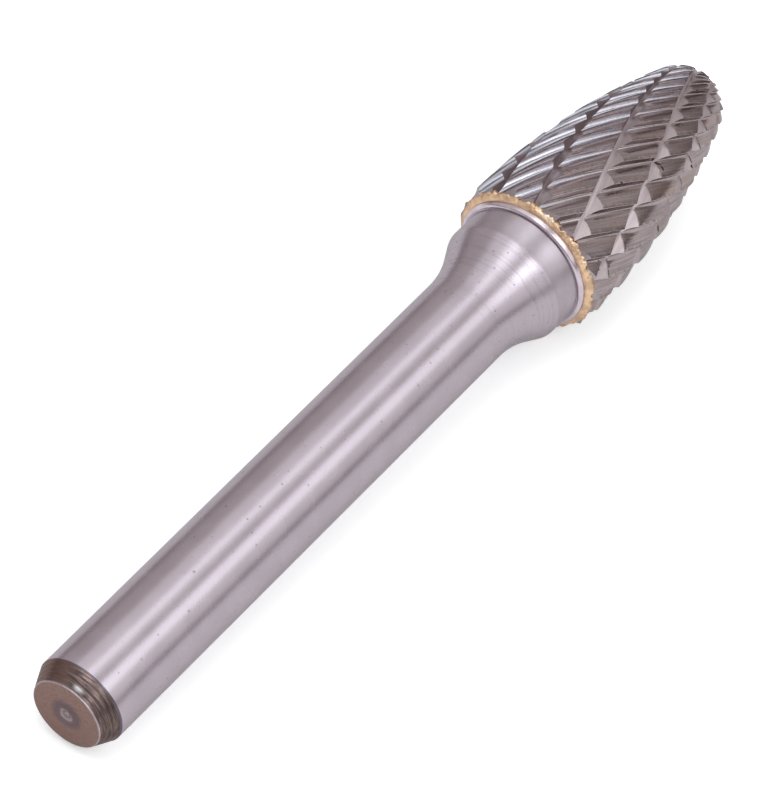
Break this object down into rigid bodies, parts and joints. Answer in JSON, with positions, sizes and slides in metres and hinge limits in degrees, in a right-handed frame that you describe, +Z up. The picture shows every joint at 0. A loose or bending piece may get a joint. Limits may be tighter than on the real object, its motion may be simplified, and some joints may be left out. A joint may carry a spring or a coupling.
{
  "type": "carbide burr",
  "caption": "Rotary burr: a round steel shank with a flared neck, brazed to a double-cut, tree-shaped carbide head with a round nose, lying at rest.",
  "frame": {"origin": "centre of the bounding box's base, on the surface that the burr lies on", "axes": "+X from the shank's free end towards the nose, as seen from above; +Z up; the burr's own axis rises by 2.7 degrees towards the nose"},
  "size_m": [0.0638, 0.0104, 0.0104],
  "materials": {
    "shank_steel": "satin, fine turned lines, small dark specks",
    "braze_alloy": "matte, as melted",
    "ground_carbide": "ground flutes, glossy, dark grey with a warm cast"
  },
  "bodies": {
    "root": {"steel_shank": "shank_steel", "braze_joint": "braze_alloy", "carbide_head": "ground_carbide"}
  },
  "joints": []
}
